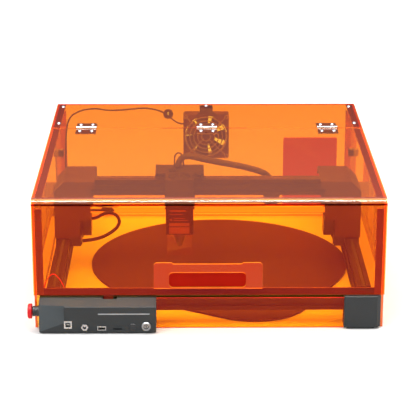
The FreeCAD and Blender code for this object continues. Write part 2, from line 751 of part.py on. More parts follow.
def cross_rails():
    """The front rail between the side rails, and the flat tie bar at the rear."""
    inner = S["rail_in"]
    bar = block((-inner, inner), (24, 44), (24, 45))
    grooves = [block((-inner - 1, inner + 1), (23, 27), (31.5, 37.5)),
               block((-inner - 1, inner + 1), (31, 37), (42, 46))]
    node("front_rail", cut(bar, *grooves))
    body = new_body("rear_tie_bar")
    pad(body, "XY_Plane", (3.5, 5.5), [[(-250, 588), (250, 588), (250, 597), (-250, 597)]])


def corner_blocks():
    """Moulded blocks that carry the rails' ends: one at the front right, two at the rear."""
    body = new_body("front_corner_block")
    left, right, front, back = S["corner_left"], 295, -8, S["rail_front"]
    low, top = S["foot_high"], 60.6
    outline = [(left, front), (right - 6, front), (right, front + 6), (right, back), (left, back)]
    pad(body, "XY_Plane", (low, top), [outline])
    dress(body, "Fillet", 2, edge_at(z=top))
    rear = [block(mirrored_range(246, 294, side), (S["rail_back"], 614), (low, 66)) for side in (-1, 1)]
    node("rear_corner_blocks", gather(*rear))


def rubber_feet():
    """Rubber pads under the corner blocks and the control box."""
    high = S["foot_high"]
    pieces = [block((237, 284), (-4, 18), (0, high))]
    for x in (-280, 250):
        pieces.append(block((x, x + 30), (600, 612), (0, high)))
    for x in (-275, -110):
        pieces.append(cylinder(9, (x, -8, 0), S["box_low"] - 1.5))
    node("rubber_feet", gather(*pieces))


def belts():
    """A toothed belt lying in each rail's top groove, and the loop behind the cross beam."""
    middle = (S["rail_in"] + S["rail_out"]) / 2
    half = S["belt_wide"] / 2
    low = S["rail_top"] - S["belt_thick"] - 0.5
    pieces = []
    for side in (-1, 1):
        x = mirrored_range(middle - half, middle + half, side)
        pieces.append(block(x, (S["rail_front"] + 2, S["rail_back"] - 2), (low, low + S["belt_thick"])))
    node("y_belts", gather(*pieces))
    inner, outer = S["pulley_radius"] + 0.2, S["pulley_radius"] + 1.6
    span = (S["x_belt_front"], S["x_belt_back"])
    x, high = S["pulley_x"], S["pulley_high"]
    loops = []
    for radius, y in ((outer, span), (inner, (span[0] - 1, span[1] + 1))):
        ends = [cylinder(radius, (side * x, y[0], high), y[1] - y[0], "y") for side in (-1, 1)]
        loops.append(fuse(block((-x, x), y, (high - radius, high + radius)), *ends))
    node("x_belt", cut(*loops))


def work_board():
    """The loose board on the ground: a wide round rear running into a smaller round front."""
    rear = Vector(S["board_rear_x"].value, S["board_rear_y"].value, 0)
    tip = Vector(S["board_tip_x"].value, S["board_tip_y"].value, 0)
    big, small = S["board_rear_radius"].value, S["board_tip_radius"].value
    run = tip - rear
    lean = math.acos((big - small) / run.Length)
    heading = math.atan2(run.y, run.x)
    touch = []
    for angle in (heading + lean, heading - lean):
        way = Vector(math.cos(angle), math.sin(angle), 0)
        touch.append((rear + way * big, tip + way * small))
    back = rear - run.normalize() * big
    front = tip + run.normalize() * small
    (rear_a, tip_a), (rear_b, tip_b) = touch
    wire = Part.Wire([Part.Arc(rear_a, back, rear_b).toShape(), Part.makeLine(rear_b, tip_b),
                      Part.Arc(tip_b, front, tip_a).toShape(), Part.makeLine(tip_a, rear_a)])
    shape_node("work_board", Part.Face(wire).extrude(Vector(0, 0, S["board_thick"].value)))


# ---- Control box -----------------------------------------------------------------------------------------

PORTS = {"usb_b": (-241.6, 17), "power": (-213, 13), "usb_a": (-184, 10.5), "card": (-157, 9),
         "button": (-131, 13), "key": (-108, 14)}


FACET_WIDE = 43
FACET_RISE = 16
FACET_TILT = 7


def control_box_shell():
    """The box's upper shell: sloped top, channel under the lid, angled left facet, openings for the ports."""
    front, back = S["box_front"], S["box_back"]
    left, right = S["box_left"], S["box_right"]
    low, high, wall = S["box_low"], S["box_high"], S["box_wall"]
    ledge, ridge = 57.5, 63
    outline = [(back, low), (front, low), (front, high), (-3, ledge), (7.5, ledge), (7.5, ridge),
               (back, ridge)]
    body = blank_body("control_box_shell_body")
    pad(body, "YZ_Plane", (left, right), [outline])
    dress(body, "Fillet", 1.2, edge_at(y=front, z=high))
    ceiling = ledge - 3
    cavity = [(back - wall, low - 1), (front + wall, low - 1), (front + wall, high - wall - 1),
              (-3, ceiling), (back - wall, ceiling)]
    pocket(body, "YZ_Plane", (left + FACET_WIDE, right - wall), [cavity])
    pocket(body, "XZ_Plane", (front - 1, front + wall + 1), *port_openings())
    pocket(body, "XY_Plane", (50, 58), [[(-183, -6), (-158, -6), (-158, 6), (-183, 6)]])
    node("control_box_shell", cut(body, facet_wedge()))


def facet_wedge():
    """What the angled facet takes off the box's left front: a leaning block held to the box's left end."""
    tilt = math.radians(FACET_TILT)
    along = Vector(FACET_WIDE, 0, FACET_RISE).normalize()
    flat = Vector(-along.z, 0, along.x)
    up = (flat * math.cos(tilt) + Vector(0, 1, 0) * math.sin(tilt)).normalize()
    facet_end = S["box_left"] + FACET_WIDE
    tool = doc.addObject("Part::Box", "facet_tool")
    tool.Length, tool.Width, tool.Height = 160, 90, 30
    corner = Vector(facet_end.value, S["box_front"].value, 20) - along * 80
    place(tool, corner.x, corner.y, corner.z, Rotation(along, up, along.cross(up), "ZXY"))
    wedge = doc.addObject("Part::Common", "facet")
    wedge.Base = tool
    wedge.Tool = block((S["box_left"] - 1, facet_end), (S["box_front"] - 1, 0), (S["box_low"] - 1, 66))
    return wedge


def port_openings():
    """Outlines and circles of the openings in the box's front."""
    outlines = [rectangle(*PORTS["usb_b"], 12.6, 12.6), rectangle(*PORTS["usb_a"], 14.2, 6.7),
                rectangle(*PORTS["card"], 15, 2.2)]
    circles = [(*PORTS["power"], 4.1), (*PORTS["button"], 6.15), (*PORTS["key"], 7.1)]
    return outlines, circles


def control_box_inside():
    """Base plate, circuit board with the interlock switch and card reader."""
    front, back, wall = S["box_front"], S["box_back"], S["box_wall"]
    left, right, low = S["box_left"], S["box_right"], S["box_low"]
    body = new_body("control_box_base")
    outline = rectangle((left + right) / 2, (front + back) / 2, right - left - 2, back - front - 2)
    pad(body, "XY_Plane", (low - 1.5, low), [outline])
    board_face = back - wall - 9
    board = block((left + FACET_WIDE + 4, right - wall - 4), (board_face, board_face + 1.6), (low + 4, 50))
    chips = [block((x, x + 14), (board_face - 3, board_face), (26, 40)) for x in (-225, -200, -150)]
    reader = block((-166, -148), (front + wall + 0.2, front + wall + 14), (11.5, 14))
    switch = block((-178, -162), (-5, 5), (40, 48))
    dot = cylinder(1.6, (-169, -3, 48), 1.6)
    node("control_board", gather(fuse(board, *chips), reader, fuse(switch, dot)))


def control_box_ports():
    """USB-B and USB-A sockets, the power jack with its hex nut, the key switch and the start button."""
    front = S["box_front"]
    a, b = PORTS["usb_b"]
    outer = fuse(block((a - 6.7, a + 6.7), (front - 0.7, front), (b - 6.7, b + 6.7)),
                 block((a - 6, a + 6), (front - 0.1, front + 15), (b - 6, b + 6)))
    mouth = block((a - 4.4, a + 4.4), (front - 2, front + 10), (b - 4.1, b + 4.1))
    usb_b = cut(outer, mouth)
    a, b = PORTS["usb_a"]
    outer = fuse(block((a - 7.4, a + 7.4), (front - 0.6, front), (b - 3.6, b + 3.6)),
                 block((a - 6.8, a + 6.8), (front - 0.1, front + 14), (b - 3.1, b + 3.1)))
    mouth = block((a - 6.3, a + 6.3), (front - 2, front + 12), (b - 2.6, b + 2.6))
    node("usb_sockets", gather(usb_b, cut(outer, mouth)))
    a, b = PORTS["power"]
    body = new_body("power_jack")
    turns = [math.radians(60 * i) for i in range(6)]
    nut = [(a + 6.3 * math.cos(turn), b + 6.3 * math.sin(turn)) for turn in turns]
    pad(body, "XZ_Plane", (front - 3, front), [nut])
    pad(body, "XZ_Plane", (front - 0.5, front + 12), [], [(a, b, 3.9)])
    pocket(body, "XZ_Plane", (front - 4, front + 9), [], [(a, b, 2.9)])
    a, b = PORTS["key"]
    housing = [(4.6, -14), (7, -14), (7, 0), (8, 0), (8, 2), (7, 3), (4.6, 3)]
    turned("key_switch_housing", housing, a, front, b, TO_FRONT)
    core = [(0, -12), (4.55, -12), (4.55, 2), (4.0, 2.5), (0, 2.5)]
    barrel = revolved("key_barrel_body", core, a, front, b, TO_FRONT)
    slit = block((a - 0.7, a + 0.7), (front - 4, front + 5), (b - 2.8, b + 2.8))
    node("key_barrel", cut(barrel, slit))
    a, b = PORTS["button"]
    turned("start_button", [(0, -6), (6.1, -6), (6.1, 0.6), (5.6, 1.2), (0, 1.2)], a, front, b, TO_FRONT)


def emergency_stop():
    """The stop switch on the box's left face: a ribbed base and a mushroom head that is pushed in."""
    place_on_box = (S["box_left"], -12, 37, TO_LEFT)
    base = [(3.1, 0), (9, 0), (9, 3), (8.2, 3.6), (8.2, 7), (9, 7.6), (9, 10.5), (8.4, 11), (3.1, 11)]
    head = [(0, 3.4), (3.0, 3.4), (3.0, 15.4), (7, 15.4), (13, 16.2), (13, 18), (11.5, 19.4), (0, 20)]
    turned("estop_base", base, *place_on_box)
    turned("estop_head", head, *place_on_box)


# ---- Gantry ----------------------------------------------------------------------------------------------

# The woven sleeve between the tool carriage's cover and the clamp below the cross beam.
SLEEVE_RADIUS = 6
SLEEVE = [(-55, 330, 186), (-54, 330, 200), (-38, 330.5, 209), (-8, 331, 201), (24, 332, 194), (56, 333, 188),
          (86, 333.5, 180.5), (110, 334, 172), (120, 334, 158), (120, 334, 141)]


def end_cover(label, side):
    """Moulded cover of a gantry end: roof, outer wall and end walls, open below and towards the middle."""
    inner, outer = S["cover_in"], S["rail_out"] + 4
    front, back, low, top = S["cover_front"], S["cover_back"], S["cover_low"], S["cover_top"]
    wall = S["cover_wall"]
    outline = [(inner, low), (outer, low), (outer, top - 19), (outer - 18.5, top), (inner, top)]
    hollow = [(inner - 1, low - 1), (outer - wall, low - 1), (outer - wall, top - 20),
              (outer - 19.5, top - wall), (inner - 1, top - wall)]
    motor_face = S["plate_in"] - S["motor_long"]
    motor_top = S["drive_high"] + S["motor_size"] / 2 + 1
    window = [(inner - 1, low - 1), (S["plate_in"] + 1, low - 1), (S["plate_in"] + 1, motor_top),
              (motor_face, motor_top), (motor_face, top - 14), (inner - 1, top - 14)]
    outline, hollow, window = ([(side * size(x), z) for x, z in shape] for shape in (outline, hollow, window))
    body = new_body(label)
    pad(body, "XZ_Plane", (front, back), [outline])
    dress(body, "Fillet", 3, edge_at(x=side * outer.value, z=top - 19))
    dress(body, "Fillet", 3, edge_at(x=side * inner.value, z=top))
    pocket(body, "XZ_Plane", (front + wall, back - wall), [hollow])
    pocket(body, "XZ_Plane", (front - 1, back + 1), [window])


def carriage(label, side):
    """End carriage: a vertical plate on the inner side of the rail and two saddles that slide on the rail."""
    plate_x = (S["plate_in"], S["plate_in"] + S["plate_thick"])
    rail_in, rail_out, top = S["rail_in"], S["rail_out"], S["rail_top"]
    slack = 0.4

    def at(x, y, z):
        return block(mirrored_range(*x, side), y, z)

    def bolt(y, z):
        start = S["plate_in"] - 2 if side > 0 else -S["plate_in"] - 0.2
        return cylinder(3, (start, y, z), 2.2, "x")

    hole_start = mirrored_range(plate_x[0] - 1, plate_x[1] + 1, side)[0]
    hole = cylinder(5, (hole_start, S["drive_y"], S["drive_high"]), S["plate_thick"] + 2, "x")
    plate = cut(at(plate_x, (268, 360), (54, 165)), hole)
    pieces = [plate]
    for y in ((268, 274), (354, 360)):
        pieces.append(at((plate_x[1] - 0.5, rail_in - slack), y, (54, 71.4)))
        pieces.append(at((rail_in - slack - 2, rail_out + slack + 2), y, (top + slack, 71.4)))
        pieces.append(at((rail_out + slack, rail_out + slack + 2), y, (54, 71.4)))
    pieces += [bolt(y, 59) for y in (272, 314, 356)]
    if side < 0:
        cap_low = 112.6
        arm = block((-237, -199), (297, 303), (cap_low, cap_low + 3))
        dome = cylinder(15, (-188, 297, cap_low - 5.6), 6, "y")
        upper = block((-204, -172), (296, 304), (cap_low, cap_low + 12))
        cap = doc.addObject("Part::Common", "cap")
        cap.Base = dome
        cap.Tool = upper
        pieces += [arm, cap]
    else:
        bearer = at((216, plate_x[0] + 0.5), (324, 330), (152, 164))
        axle = cylinder(2, (S["pulley_x"], S["x_belt_front"] - 1, S["pulley_high"]), 12, "y")
        pieces += [bearer, axle]
    node(label, fuse(*pieces))


# The left carriage motor's cable: out of the motor, over under the cap, and back to the carriage plate.
CARRIAGE_CABLE_RADIUS = 3.3
CARRIAGE_CABLE = [(-216.7, 300, 97.8), (-208, 300, 98.4), (-197, 300, 106.4), (-183, 300, 109.8),
                  (-170.5, 300, 105), (-164.2, 300, 93), (-168.5, 300, 81), (-180, 300, 70.5),
                  (-198, 300, 60.3), (-217, 300, 55.2), (-235.5, 300, 53.2)]


def drive_motors():
    """Square stepper motors: one at each gantry end and one behind the cross beam's left end."""
    half = S["motor_size"] / 2
    y, z = S["drive_y"], S["drive_high"]
    pieces = []
    for side in (-1, 1):
        x = mirrored_range(S["plate_in"] - S["motor_long"], S["plate_in"], side)
        pieces.append(bevelled_motor(x, (y - half, y + half), (z - half, z + half), "x"))
    half = S["x_motor_size"] / 2
    x, high = -S["pulley_x"], S["pulley_high"]
    face = S["x_belt_back"] + 1.5
    pieces.append(bevelled_motor((x - half, x + half), (face, face + 26), (high - half, high + half), "y"))
    node("drive_motors", gather(*pieces))


def bevelled_motor(x, y, z, along):
    """A motor body whose four long corners are bevelled."""
    solid = block(x, y, z)
    doc.recompute()
    direction = Vector(1, 0, 0) if along == "x" else Vector(0, 1, 0)
    long_edges = [i for i, edge in enumerate(solid.Shape.Edges, start=1)
                  if abs(edge.tangentAt(edge.FirstParameter).dot(direction)) > 0.99]
    bevel = doc.addObject("Part::Chamfer", "bevel")
    bevel.Base = solid
    bevel.Edges = [(i, 3, 3) for i in long_edges]
    return bevel


def x_beam():
    """The cross beam: an extrusion with grooves along its top and front, and the sleeve's clamp below it."""
    reach, front, back = S["plate_in"], S["beam_front"], S["beam_back"]
    low, top, deep = S["beam_low"], S["beam_top"], 3
    outline = [(front, low)]
    for groove in (low + 7, low + 20):
        outline += [(front, groove), (front + deep, groove), (front + deep, groove + 4), (front, groove + 4)]
    outline.append((front, top))
    for start, end in ((front + 5, front + 9), (back - 6, back - 3)):
        outline += [(start, top), (start, top - deep), (end, top - deep), (end, top)]
    outline += [(back, top), (back, low)]
    body = blank_body("x_beam_bar")
    pad(body, "YZ_Plane", (-reach, reach), [outline])
    end_x, end_y, _ = SLEEVE[-1]
    shelf = block((end_x - 16, end_x + 14), (front + 0.5, end_y + 12), (low - 4, low))
    clamp = block((end_x - 12, end_x + 12), (end_y - 8, end_y + 10), (low - 22, low - 3.9))
    hole = cylinder(SLEEVE_RADIUS + 0.1, (end_x, end_y, low - 23), 30)
    node("x_beam", gather(body, cut(fuse(shelf, clamp), hole)))


def drive_wheels():
    """Toothed drive wheels on the gantry motors' shafts, one above each rail's belt."""
    y, z, radius = S["drive_y"], S["drive_high"], S["wheel_radius"]
    inner = (S["rail_in"] + S["rail_out"]) / 2
    half = S["belt_wide"] / 2
    pieces = []
    for side in (-1, 1):
        shaft = mirrored_range(S["plate_in"] + 0.3, inner + 6, side)
        rim = mirrored_range(inner - half, inner + half, side)
        wheel = fuse(cylinder(2.5, (shaft[0], y, z), shaft[1] - shaft[0], "x"),
                     cylinder(radius, (rim[0], y, z), rim[1] - rim[0], "x"))
        holes = []
        for turn in [math.radians(72 * i) for i in range(5)]:
            start = (rim[0] - 1, y + 11 * math.cos(turn), z + 11 * math.sin(turn))
            holes.append(cylinder(4, start, S["belt_wide"] + 2, "x"))
        pieces.append(cut(wheel, *holes))
    node("y_drive_wheels", gather(*pieces))
    x, high = S["pulley_x"], S["pulley_high"]
    start = S["x_belt_front"]
    motor_face = S["x_belt_back"] + 1.5
    drive = fuse(cylinder(S["pulley_radius"], (-x, start, high), S["belt_wide"], "y"),
                 cylinder(2.5, (-x, start + 0.5, high), motor_face - start - 0.8, "y"))
    node("x_drive_pulley", drive)
    idler = cut(cylinder(S["pulley_radius"], (x, start, high), S["belt_wide"], "y"),
                cylinder(2.05, (x, start - 1, high), S["belt_wide"] + 2, "y"))
    node("x_idler_pulley", idler)


# ---- Tool carriage and laser module ----------------------------------------------------------------------


def x_saddle():
    """The plate that rides on the cross beam: front plate, top, rear plate, glide pads and belt clamp."""
    x = S["tool_x"]
    front, back, top = S["beam_front"], S["beam_back"], S["beam_top"]
    slack = 0.4
    upper = S["pulley_high"] + S["pulley_radius"]
    pieces = [
        block((x - 28, x + 28), (front - slack - 3.6, front - slack), (120, top + 5)),
        block((x - 40, x + 40), (front - slack - 3.6, 330), (top + slack, top + 5)),
        block((x - 40, x + 40), (326, 330), (146, top + 5)),
        block((x - 38, x - 28), (back + slack, 327), (146, 149.4)),
        block((x + 28, x + 38), (back + slack, 327), (146, 149.4)),
        block((x - 8, x + 8), (back + 1, 327), (upper + 2.1, upper + 6)),
        block((x - 8, x + 8), (back + 1, 327), (upper - 6, upper - 0.3)),
        block((x - 10, x + 10), (S["laser_back"], front - slack - 3), (124, 176)),
    ]
    node("x_saddle", fuse(*pieces))


def x_carriage_cover():
    """Moulded cover over the saddle and belt clamp, with a plug block on its roof."""
    x, front = S["tool_x"], S["beam_front"] + 2
    top, wall = 185, 2
    low = S["beam_top"] + 1.2
    back, skirt, skirt_low = 348, 332, 146
    wide = (x - 45, x + 45)
    inside = (x - 43, x + 43)
    outer = fuse(block(wide, (front, back), (low, top)), block(wide, (skirt, back), (skirt_low, top)))
    body = cut(outer, block(inside, (front - 3, back - wall), (low - 6, top - wall)),
               block(inside, (skirt - 1, back - wall), (skirt_low - 1, top - wall)))
    plug = block((x - 20, x - 8), (300, 318), (top - 0.5, top + 6))
    start_x, start_y, _ = SLEEVE[0]
    collar = cylinder(SLEEVE_RADIUS + 2.4, (start_x, start_y, top - 0.5), 5)
    hole = cylinder(SLEEVE_RADIUS + 0.6, (start_x, start_y, top - 5), 12)
    node("x_carriage_cover", cut(fuse(body, plug, collar), hole))


def laser_module():
    """Laser module: finned housing with a fan recess, tapered nozzle, clear shield, fan and clamp knob."""
    x, wide = S["tool_x"], S["laser_wide"]
    front, back, low, top = S["laser_front"], S["laser_back"], S["laser_low"], S["laser_top"]
    half = wide / 2
    middle = (front + back) / 2
    body = blank_body("laser_body")
    pad(body, "XY_Plane", (low, top), [rectangle(x, middle, wide, back - front)])
    dress(body, "Fillet", 2, lambda edge: near(edge.Length, top - low))
    fins = []
    for i in range(6):
        y = front + 9 + 5.5 * i
        for side_x in (x - half - 1, x + half - 4):
            fins.append(block((side_x, side_x + 5), (y, y + 2.5), (low + 10, top - 14)))
    recess = cylinder(21, (x, middle, top - 12), 13)
    guide = block((x - 10.3, x + 10.3), (back - 3, back + 1), (low - 1, top + 1))
    bore = cylinder(6, (x, middle, low - 1), 12)
    hole = cylinder(1.6, (x + half - 9, middle + 3, 140), 12, "x")
    node("laser_housing", cut(body, recess, guide, bore, hole, *fins))
    nozzle = [(2, -30), (4, -30), (6, -24), (12, -8), (12, 0), (5.9, 0), (5.9, 6), (2, 6)]
    turned("laser_nozzle", nozzle, x, middle, low)
    wall, reach = 1.5, 23.5
    outer = block((x - reach, x + reach), (front + 3, back - 3), (low - 40, low))
    reach -= wall
    inner = block((x - reach, x + reach), (front + 3 + wall, back - 3 - wall), (low - 41, low + 1))
    node("laser_shield", cut(outer, inner))
    knob = [(0, -4), (1.5, -4), (1.5, 0.6), (4, 0.6), (4.4, 1.2), (4.4, 7.6), (4, 8.2), (0, 8.2)]
    turned("focus_knob", knob, x + half, middle + 3, 140, TO_X)
    fan_rotor("laser_fan_rotor", (x, middle, top - 10.5), Rotation(), 9, 19.5, 7)


# ---- Build, check and export -----------------------------------------------------------------------------


def build():
    """Makes every sub-part."""
    side_panel("side_panel_left", -1)
    side_panel("side_panel_right", 1)
    rear_panel()
    rear_roof_strip()
    low_front_panel()
    rear_cover_plate()
    joining_strips()
    panel_blocks()
    enclosure_screws()
    hinges()
    lid_panel()
    lid_grip_plate()
    lid_seal_strips()
    lid_screws()
    exhaust_fan_frame()
    fan_rotor("exhaust_fan_rotor", (0, FAN_FRONT + 3, S["fan_high"]), TO_Y, 17, 41, 17)
    fan_guard()
    fan_bracket()
    cable_clip()
    tube("fan_cable", FAN_LEAD, LEAD_RADIUS)
    rail("rail_left", -1)
    rail("rail_right", 1)
    cross_rails()
    corner_blocks()
    rubber_feet()
    belts()
    work_board()
    control_box_shell()
    control_box_inside()
    control_box_ports()
    emergency_stop()
    for label, side in (("left", -1), ("right", 1)):
        end_cover(f"cover_{label}", side)
        carriage(f"carriage_{label}", side)
    drive_motors()
    x_beam()
    drive_wheels()
    tube("carriage_cable", CARRIAGE_CABLE, CARRIAGE_CABLE_RADIUS)
    x_saddle()
    x_carriage_cover()
    tube("cable_sleeve", SLEEVE, SLEEVE_RADIUS)
    laser_module()


def check_and_export():
    """Recomputes, refuses any failed or invalid object, and writes one STEP file per sub-part."""
    doc.recompute()
    for thing in doc.Objects:
        if "Invalid" in thing.State or "Error" in thing.State:
            raise ValueError(f"{thing.Label} did not compute: {thing.State}")
    os.makedirs("parts", exist_ok=True)
    box = FreeCAD.BoundBox()
    for label, thing in NODES.items():
        shape = thing.Shape
        if shape.isNull() or not shape.isValid():
            raise ValueError(f"{label} has no valid shape")
        if not shape.Solids:
            raise ValueError(f"{label} holds no solid")
        box.add(shape.BoundBox)
        shape.exportStep(f"parts/{label}.step")
    limits = (box.XMin, box.XMax, box.YMin, box.YMax, box.ZMin, box.ZMax)
    print(len(NODES), "sub-parts; box", [round(limit, 2) for limit in limits])


build()
check_and_export()
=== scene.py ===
"""Looks of the desktop laser cutter: materials, cables, trim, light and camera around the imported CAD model.

The scene is in metres in the CAD model's frame: +X right, +Y back, +Z up, origin at the bottom centre. Most
places are given in millimetres in the enclosure's frame, in which part.py lays out the pieces, and at()
carries them over.
"""

import bmesh
import bpy
import math
from mathutils import Matrix, Vector


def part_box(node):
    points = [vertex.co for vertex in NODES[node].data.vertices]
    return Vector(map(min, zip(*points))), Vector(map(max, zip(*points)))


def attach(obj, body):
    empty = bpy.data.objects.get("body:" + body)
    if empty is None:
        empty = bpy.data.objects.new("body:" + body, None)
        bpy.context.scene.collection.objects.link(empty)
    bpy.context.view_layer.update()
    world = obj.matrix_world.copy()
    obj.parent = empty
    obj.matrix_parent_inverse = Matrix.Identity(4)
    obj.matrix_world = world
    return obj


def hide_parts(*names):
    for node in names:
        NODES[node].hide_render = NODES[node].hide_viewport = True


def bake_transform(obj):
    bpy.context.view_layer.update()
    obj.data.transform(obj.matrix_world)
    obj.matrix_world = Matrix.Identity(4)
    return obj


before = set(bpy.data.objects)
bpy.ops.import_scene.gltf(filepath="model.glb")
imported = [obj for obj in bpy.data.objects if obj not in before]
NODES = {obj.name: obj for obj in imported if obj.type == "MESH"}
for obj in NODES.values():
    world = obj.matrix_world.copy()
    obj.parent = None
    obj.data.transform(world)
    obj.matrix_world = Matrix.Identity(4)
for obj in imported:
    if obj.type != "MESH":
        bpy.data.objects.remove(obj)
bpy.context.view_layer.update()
MM = 0.001
X, Y, Z = Vector((1, 0, 0)), Vector((0, 1, 0)), Vector((0, 0, 1))

# The origin of the enclosure's frame: the middle of the enclosure's front bottom edge.
SHIFT = Vector((0.005, -0.296, 0))


def at(x, y, z):
    """A point given in millimetres in the enclosure's frame."""
    return Vector((x, y, z)) * MM + SHIFT


# ---- Materials -------------------------------------------------------------------------------------------

# The range of a noise texture's values that smudges and lines use, and the range that clouds use.
NOISE_RANGE, CLOUD_RANGE = (0.3, 0.7), (0.35, 0.7)
# The range of Pointiness over which an edge turns from plain to fully rubbed.
EDGE_RANGE = (0.52, 0.6)


def shade(color, factor, lift=0.0):
    """A colour made lighter or darker by a factor, and lifted."""
    return tuple(channel * factor + lift for channel in color)


class Look:
    """A material made of one Principled shader, with helpers that add nodes to it.

    Further sockets are given by name, with underscores for spaces.
    """

    def __init__(self, name, color, roughness, metallic=0.0, **sockets):
        self.material = bpy.data.materials.new(name)
        self.material.use_nodes = True
        self.nodes = self.material.node_tree.nodes
        self.links = self.material.node_tree.links
        self.shader = self.nodes["Principled BSDF"]
        self.shader.inputs["Base Color"].default_value = (*color, 1)
        self.shader.inputs["Roughness"].default_value = roughness
        self.shader.inputs["Metallic"].default_value = metallic
        for socket, value in sockets.items():
            self.shader.inputs[socket.replace("_", " ")].default_value = value
        self.normal = None

    def add(self, kind, **values):
        """A node of that kind with its inputs set."""
        node = self.nodes.new("ShaderNode" + kind)
        for name, value in values.items():
            node.inputs[name.replace("_", " ")].default_value = value
        return node

    def place(self, scale):
        """Object coordinates multiplied by one scale, or by a scale each along x, y and z."""
        mapping = self.add("Mapping", Scale=scale if isinstance(scale, tuple) else (scale,) * 3)
        self.links.new(self.add("TexCoord").outputs["Object"], mapping.inputs["Vector"])
        return mapping.outputs["Vector"]

    def noise(self, scale, detail=3.0):
        """A noise value over object coordinates."""
        texture = self.add("TexNoise", Scale=1.0, Detail=detail, Roughness=0.55)
        self.links.new(self.place(scale), texture.inputs["Vector"])
        return texture.outputs["Fac"]

    def remap(self, value, old, new):
        """A value carried from one range to another, held inside it."""
        node = self.add("MapRange", From_Min=old[0], From_Max=old[1], To_Min=new[0], To_Max=new[1])
        self.links.new(value, node.inputs["Value"])
        return node.outputs["Result"]

    def vary_color(self, factor, other):
        """Mixes the colour so far with another by a factor."""
        mix = self.add("Mix")
        mix.data_type = "RGBA"
        base = self.shader.inputs["Base Color"]
        if base.is_linked:
            self.links.new(base.links[0].from_socket, mix.inputs[6])
        else:
            mix.inputs[6].default_value = base.default_value
        mix.inputs[7].default_value = (*other, 1)
        self.links.new(factor, mix.inputs[0])
        self.links.new(mix.outputs[2], base)

    def mottle(self, scale, other):
        """Cloudy variation of the colour."""
        self.vary_color(self.remap(self.noise(scale), CLOUD_RANGE, (0, 1)), other)

    def worn_edges(self, other, amount):
        """Lighter, rubbed edges."""
        pointiness = self.add("NewGeometry").outputs["Pointiness"]
        self.vary_color(self.remap(pointiness, EDGE_RANGE, (0, amount)), other)

    def vary_roughness(self, scale, low, high):
        """Smudges: roughness between two values."""
        smudge = self.remap(self.noise(scale), NOISE_RANGE, (low, high))
        self.links.new(smudge, self.shader.inputs["Roughness"])

    def bump(self, height, depth, strength):
        """Raises the surface by a value times depth in metres, on top of any bump so far."""
        node = self.add("Bump", Strength=strength, Distance=depth)
        self.links.new(height, node.inputs["Height"])
        if self.normal:
            self.links.new(self.normal, node.inputs["Normal"])
        self.normal = node.outputs["Normal"]
        self.links.new(self.normal, self.shader.inputs["Normal"])

    def grain(self, scale, depth, strength=0.6):
        """Fine moulded or blasted grain."""
        self.bump(self.noise(scale, detail=2.0), depth, strength)

    def let_light_through(self, tint):
        """Lamps shine through this glass with a tint, so that what is behind it is lit."""
        path = self.add("LightPath")
        clear = self.add("BsdfTransparent", Color=(*tint, 1))
        mix = self.add("MixShader")
        self.links.new(path.outputs["Is Shadow Ray"], mix.inputs[0])
        self.links.new(self.shader.outputs[0], mix.inputs[1])
        self.links.new(clear.outputs[0], mix.inputs[2])
        self.links.new(mix.outputs[0], self.nodes["Material Output"].inputs["Surface"])


def acrylic(name, tint, painted_glow_color, glow, coat=0.0, gloss=(1.0, 1.0, 1.0)):
    """Fluorescent acrylic: clear and polished, with tinted gloss and a faint painted glow, an emission in one
    colour that stands for the sheet's fluorescence and for light reflected off it.

    A small plate that lies against another sheet has a coat: it doesn't bend light, and its gloss is the
    coat's.
    """
    # The emission is a painted glow: it shines the same whatever the lamps.
    look = Look(name, tint, roughness=0.02, IOR=1.0 if coat else 1.49, Transmission_Weight=1.0,
                Coat_Weight=coat, Specular_Tint=(*gloss, 1), Emission_Color=(*painted_glow_color, 1),
                Emission_Strength=glow)
    # A lamp's light crosses both faces of a sheet, so each face takes the square root of the tint.
    look.let_light_through(tuple(channel ** 0.5 for channel in tint))
    look.bump(look.noise(6.0, detail=1.0), depth=0.0003, strength=0.05)
    return look.material


def acrylic_edge(name, color, glow):
    """The cut edge of a fluorescent sheet, with a painted glow in its own colour that stands for the light
    the edge gathers from the sheet.
    """
    look = Look(name, color, roughness=0.25, Coat_Weight=0.3, Emission_Color=(*color, 1),
                Emission_Strength=glow)
    look.bump(look.noise((40, 40, 900), detail=2.0), depth=0.0002, strength=0.4)
    look.mottle(30.0, shade(color, 0.7))
    return look.material


def moulded(name, color, roughness):
    """Fine-grained moulded plastic with slight cloudiness and rubbed edges."""
    look = Look(name, color, roughness, Specular_IOR_Level=0.35)
    look.mottle(14.0, shade(color, 1.25))
    look.worn_edges(shade(color, 1.6, lift=0.004), amount=0.5)
    look.vary_roughness(25.0, roughness - 0.07, roughness + 0.1)
    look.grain(1800.0, depth=0.00008)
    return look.material


def anodised(name, color, roughness, brush):
    """Anodised aluminium with drawing lines: the brush is a noise scale, small along the lines."""
    look = Look(name, color, roughness, metallic=0.5)
    lines = look.noise(brush, detail=2.0)
    look.bump(lines, depth=0.00006, strength=0.5)
    look.vary_color(look.remap(lines, NOISE_RANGE, (0, 0.5)), shade(color, 1.8))
    look.worn_edges(shade(color, 2, lift=0.01), amount=0.4)
    return look.material


def bare_metal(name, color, roughness):
    """Plated or machined metal with light smudges."""
    look = Look(name, color, roughness, metallic=1.0)
    look.mottle(60.0, shade(color, 0.75))
    look.vary_roughness(90.0, roughness - 0.06, roughness + 0.1)
    look.grain(400.0, depth=0.00003, strength=0.4)
    return look.material


def rubbery(name, color, roughness):
    """Matte rubber or cable jacket."""
    look = Look(name, color, roughness, Specular_IOR_Level=0.35, Sheen_Weight=0.15)
    look.mottle(120.0, shade(color, 1.6))
    look.grain(2500.0, depth=0.00005)
    return look.material


